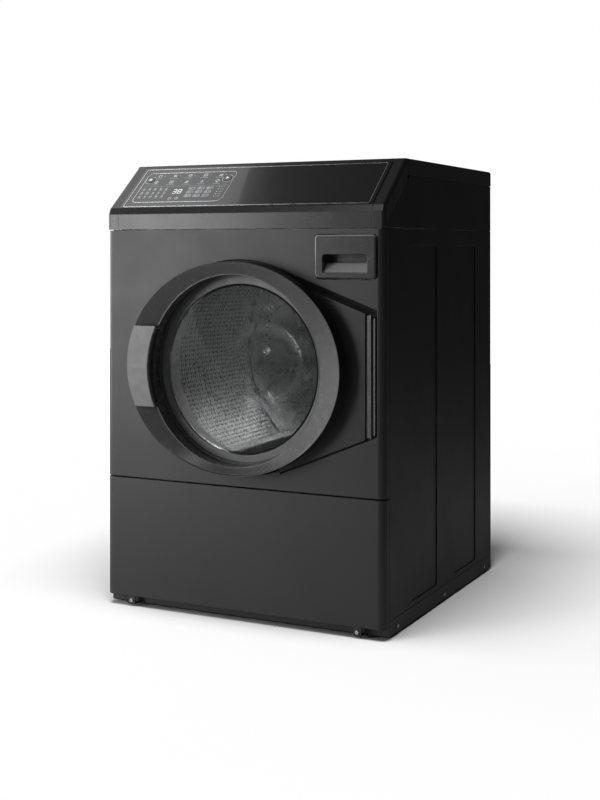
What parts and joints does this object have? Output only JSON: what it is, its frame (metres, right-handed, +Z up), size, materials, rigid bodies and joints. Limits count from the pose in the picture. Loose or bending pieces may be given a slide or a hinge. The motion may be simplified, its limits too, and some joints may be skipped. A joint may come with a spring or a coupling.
{
  "type": "clothes dryer",
  "caption": "Front-loading clothes dryer with a round glass door on a side hinge, slanted control console, lint drawer, perforated drum and a belt drive inside.",
  "frame": {"origin": "middle of the overall box in X and Y, at the floor", "axes": "+Z up, the door faces -Y, +X is to the right seen from the front"},
  "size_m": [0.6874, 0.746, 1],
  "materials": {
    "body_paint": "satin black powder coat",
    "console_plastic": "fine satin black",
    "fascia_gloss": "gloss black",
    "silver_line": "satin",
    "display_glass": "gloss",
    "board_green": "solder mask",
    "door_plastic": "satin black",
    "trim_plastic": "satin graphite",
    "handle_plastic": "satin grey",
    "inner_plastic": "moulded",
    "glass": "clear",
    "gasket_rubber": "matt grey",
    "hinge_steel": "bright",
    "drum_steel": "brushed stainless",
    "lifter_steel": "brushed stainless",
    "zinc_sheet": "galvanised",
    "felt": "felt",
    "bearing_steel": "machined",
    "heater_rod": "oxidised",
    "duct_metal": "rolled",
    "fan_plastic": "moulded",
    "drawer_plastic": "satin black",
    "screen_mesh": "mesh",
    "motor_paint": "enamel",
    "shaft_steel": "ground",
    "belt_rubber": "ribbed",
    "roller_rubber": "matt",
    "lamp_lens": "frosted",
    "terminal_plastic": "phenolic",
    "key_plastic": "gloss",
    "screw_zinc": "zinc",
    "foot_plastic": "moulded"
  },
  "bodies": {
    "cabinet": {"base_frame": "body_paint", "blower_housing": "fan_plastic", "cabinet_screws": "screw_zinc", "console_housing": "console_plastic", "control_board": "board_green", "control_fascia": "fascia_gloss", "display_window": "display_glass", "door_catch": "terminal_plastic", "drive_belt": "belt_rubber", "drum_felt_seal": "felt", "drum_lamp": "lamp_lens", "drum_throat": "zinc_sheet", "end_caps": "console_plastic", "exhaust_duct": "duct_metal", "fascia_trim": "silver_line", "front_bulkhead": "zinc_sheet", "front_panel": "body_paint", "heater_element": "heater_rod", "heater_housing": "zinc_sheet", "hinge_frame_leaf": "hinge_steel", "hinge_pin": "hinge_steel", "lint_chute": "zinc_sheet", "lint_drawer_guide": "zinc_sheet", "lower_panel": "body_paint", "motor_bracket": "zinc_sheet", "motor_stator": "motor_paint", "rear_bearing": "bearing_steel", "rear_bulkhead": "zinc_sheet", "rear_panel": "zinc_sheet", "roller_shafts": "shaft_steel", "side_panels": "body_paint", "terminal_block": "terminal_plastic", "top_cover": "body_paint", "upper_side_panels": "body_paint"},
    "door": {"door_outer_panel": "door_plastic", "door_trim_ring": "trim_plastic", "door_handle": "handle_plastic", "door_inner_panel": "inner_plastic", "door_glass": "glass", "door_gasket": "gasket_rubber", "hinge_door_leaf": "hinge_steel"},
    "drum": {"drum_cylinder": "drum_steel", "drum_rear_head": "drum_steel", "drum_lifters": "lifter_steel"},
    "motor_spindle": {"motor_rotor": "shaft_steel", "blower_wheel": "fan_plastic"},
    "idler_lever": {"idler_arm": "zinc_sheet", "idler_spring": "shaft_steel"},
    "idler_pulley": {"idler_wheel": "terminal_plastic"},
    "roller_left": {"support_roller_left": "roller_rubber"},
    "roller_right": {"support_roller_right": "roller_rubber"},
    "lint_drawer": {"lint_drawer_front": "drawer_plastic", "lint_tray": "drawer_plastic", "lint_screen": "screen_mesh"},
    "start_key": {"start_key": "key_plastic"},
    "stop_key": {"stop_key": "key_plastic"},
    "front_left_leg": {"front_left_leg": "foot_plastic"},
    "front_right_leg": {"front_right_leg": "foot_plastic"},
    "rear_left_leg": {"rear_left_leg": "foot_plastic"},
    "rear_right_leg": {"rear_right_leg": "foot_plastic"}
  },
  "joints": [
    {"name": "door_hinge", "type": "hinge", "parent": "cabinet", "child": "door", "pos_m": [0.311, -0.3305, 0.548], "axis": [0, 0, 1], "range_deg": [0, 160]},
    {"name": "drum_spin", "type": "hinge", "parent": "cabinet", "child": "drum", "pos_m": [0, 0.021, 0.548], "axis": [0, 1, 0], "continuous": true},
    {"name": "motor_spin", "type": "hinge", "parent": "cabinet", "child": "motor_spindle", "pos_m": [0.18, -0.049, 0.136], "axis": [0, 1, 0], "continuous": true},
    {"name": "idler_lever_pivot", "type": "hinge", "parent": "cabinet", "child": "idler_lever", "pos_m": [0.096, 0.081, 0.062], "axis": [0, 1, 0], "range_deg": [0, 10], "stiffness_Nm_per_rad": 1.5, "springref_deg": -20.05, "deforming": ["idler_spring"]},
    {"name": "idler_pulley_spin", "type": "hinge", "parent": "idler_lever", "child": "idler_pulley", "pos_m": [0.04, 0.071, 0.178], "axis": [0, 1, 0], "continuous": true},
    {"name": "roller_left_spin", "type": "hinge", "parent": "cabinet", "child": "roller_left", "pos_m": [-0.21308, -0.213, 0.29406], "axis": [0, 1, 0], "continuous": true},
    {"name": "roller_right_spin", "type": "hinge", "parent": "cabinet", "child": "roller_right", "pos_m": [0.21308, -0.213, 0.29406], "axis": [0, 1, 0], "continuous": true},
    {"name": "lint_drawer_slide", "type": "slide", "parent": "cabinet", "child": "lint_drawer", "axis": [0, -1, 0], "range_m": [0, 0.28]},
    {"name": "start_key_press", "type": "slide", "parent": "cabinet", "child": "start_key", "axis": [0, 0.6451, -0.7641], "range_m": [0, 0.001], "stiffness_N_per_m": 500, "springref_m": -0.0006},
    {"name": "stop_key_press", "type": "slide", "parent": "cabinet", "child": "stop_key", "axis": [0, 0.6451, -0.7641], "range_m": [0, 0.001], "stiffness_N_per_m": 500, "springref_m": -0.0006},
    {"name": "front_left_leg_screw", "type": "slide", "parent": "cabinet", "child": "front_left_leg", "axis": [0, 0, -1], "range_m": [0, 0.025]},
    {"name": "front_right_leg_screw", "type": "slide", "parent": "cabinet", "child": "front_right_leg", "axis": [0, 0, -1], "range_m": [0, 0.025]},
    {"name": "rear_left_leg_screw", "type": "slide", "parent": "cabinet", "child": "rear_left_leg", "axis": [0, 0, -1], "range_m": [0, 0.025]},
    {"name": "rear_right_leg_screw", "type": "slide", "parent": "cabinet", "child": "rear_right_leg", "axis": [0, 0, -1], "range_m": [0, 0.025]}
  ],
  "couplings": [
    {"joint": "motor_spin", "follows": "drum_spin", "ratio": 28.056},
    {"joint": "idler_pulley_spin", "follows": "drum_spin", "ratio": 13.899},
    {"joint": "roller_left_spin", "follows": "drum_spin", "ratio": -10.04},
    {"joint": "roller_right_spin", "follows": "drum_spin", "ratio": -10.04}
  ]
}
